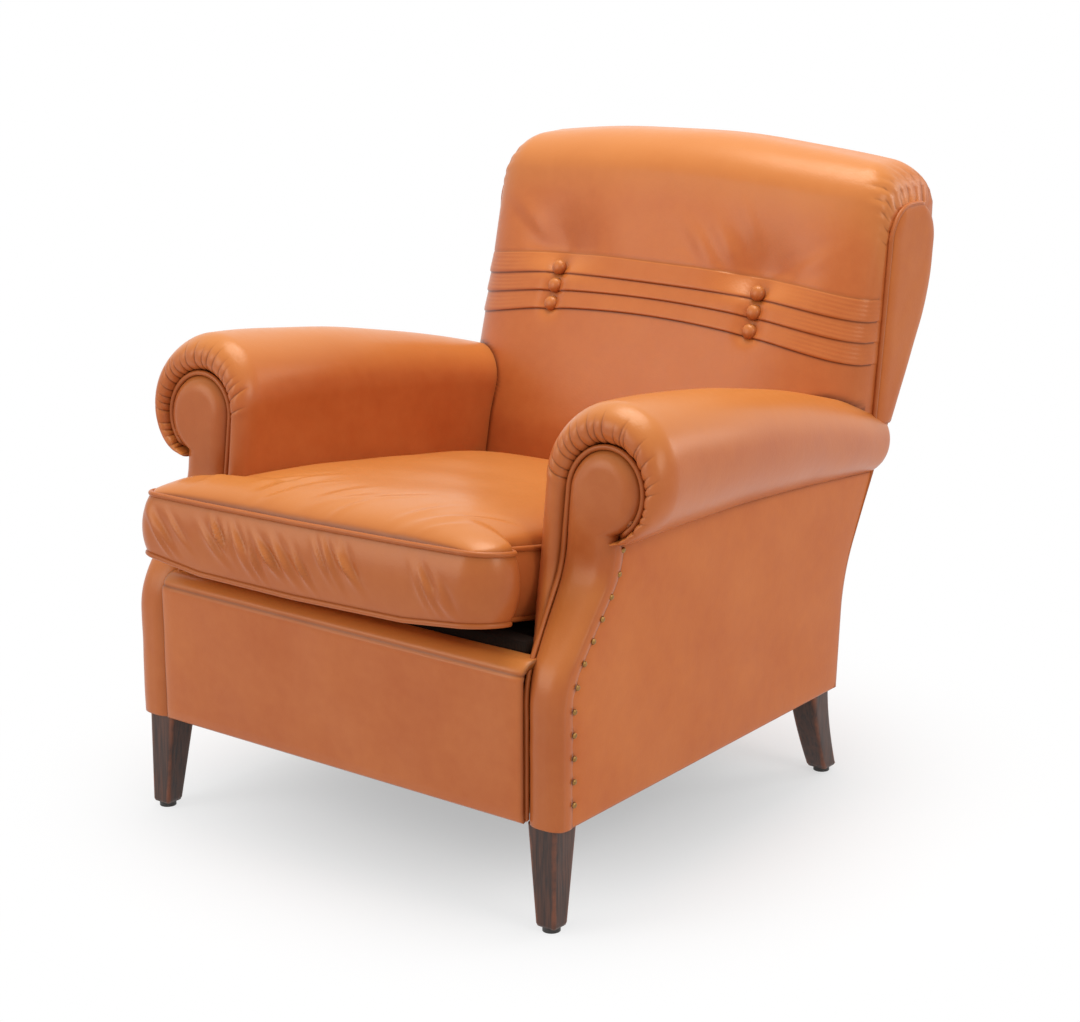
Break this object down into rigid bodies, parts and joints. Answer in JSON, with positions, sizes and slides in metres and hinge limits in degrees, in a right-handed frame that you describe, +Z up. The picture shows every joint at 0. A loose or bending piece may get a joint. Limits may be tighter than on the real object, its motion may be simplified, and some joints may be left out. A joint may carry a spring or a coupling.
{
  "type": "leather club chair",
  "caption": "Upholstered leather easy chair with set-back scroll arms, a raked buttoned back, a loose T-shaped seat cushion and tapered wooden legs.",
  "frame": {"origin": "on the floor under the middle of the chair's overall width and depth", "axes": "+Z up, -Y the front that the sitter faces, +X the right-hand side of someone looking at the front"},
  "size_m": [0.7546, 0.82, 0.767],
  "materials": {
    "tan_leather": "smooth aniline, satin",
    "leather_piping": "satin",
    "dark_wood": "dark stain, worn",
    "frame_wood": "sawn beech",
    "glide_plastic": "matt",
    "stud_steel": "zinc plated",
    "spring_steel": "copper-washed wire",
    "nail_brass": "antiqued",
    "jute_webbing": "woven",
    "hessian": "woven",
    "deck_cloth": "woven",
    "dust_cloth": "woven",
    "cushion_filling": "soft"
  },
  "bodies": {
    "chair": {"arm_facing_left": "tan_leather", "arm_facing_right": "tan_leather", "arm_lining_left": "hessian", "arm_lining_right": "hessian", "arm_pad_left": "tan_leather", "arm_pad_right": "tan_leather", "arm_rail_left": "frame_wood", "arm_rail_right": "frame_wood", "arm_tack_rail_left": "frame_wood", "arm_tack_rail_right": "frame_wood", "back_buttons": "tan_leather", "back_hessian": "hessian", "back_pad": "tan_leather", "back_piping_left": "leather_piping", "back_piping_right": "leather_piping", "back_post_left": "frame_wood", "back_post_right": "frame_wood", "back_seat_rail": "frame_wood", "back_side_left": "tan_leather", "back_side_right": "tan_leather", "back_webbing": "jute_webbing", "corner_blocks": "frame_wood", "crest_rail": "frame_wood", "dust_cover": "dust_cloth", "facing_nails_left": "nail_brass", "facing_nails_right": "nail_brass", "facing_piping_left": "leather_piping", "facing_piping_right": "leather_piping", "front_apron": "tan_leather", "front_leg_left": "dark_wood", "front_leg_right": "dark_wood", "front_post_left": "frame_wood", "front_post_right": "frame_wood", "front_seat_rail": "frame_wood", "leg_glides": "glide_plastic", "leg_studs": "stud_steel", "lower_back_rail": "frame_wood", "outside_arm_left": "tan_leather", "outside_arm_right": "tan_leather", "outside_back": "tan_leather", "rear_leg_left": "dark_wood", "rear_leg_right": "dark_wood", "seat_deck": "deck_cloth", "seat_springs": "spring_steel", "seat_webbing": "jute_webbing", "side_seat_rail_left": "frame_wood", "side_seat_rail_right": "frame_wood", "spring_hessian": "hessian"},
    "cushion": {"cushion_bottom": "tan_leather", "cushion_boxing": "tan_leather", "cushion_core": "cushion_filling", "cushion_piping": "leather_piping", "cushion_top": "tan_leather"}
  },
  "joints": [
    {"name": "cushion_lift", "type": "slide", "parent": "chair", "child": "cushion", "axis": [0, 0, 1], "range_m": [0, 0.32]}
  ]
}
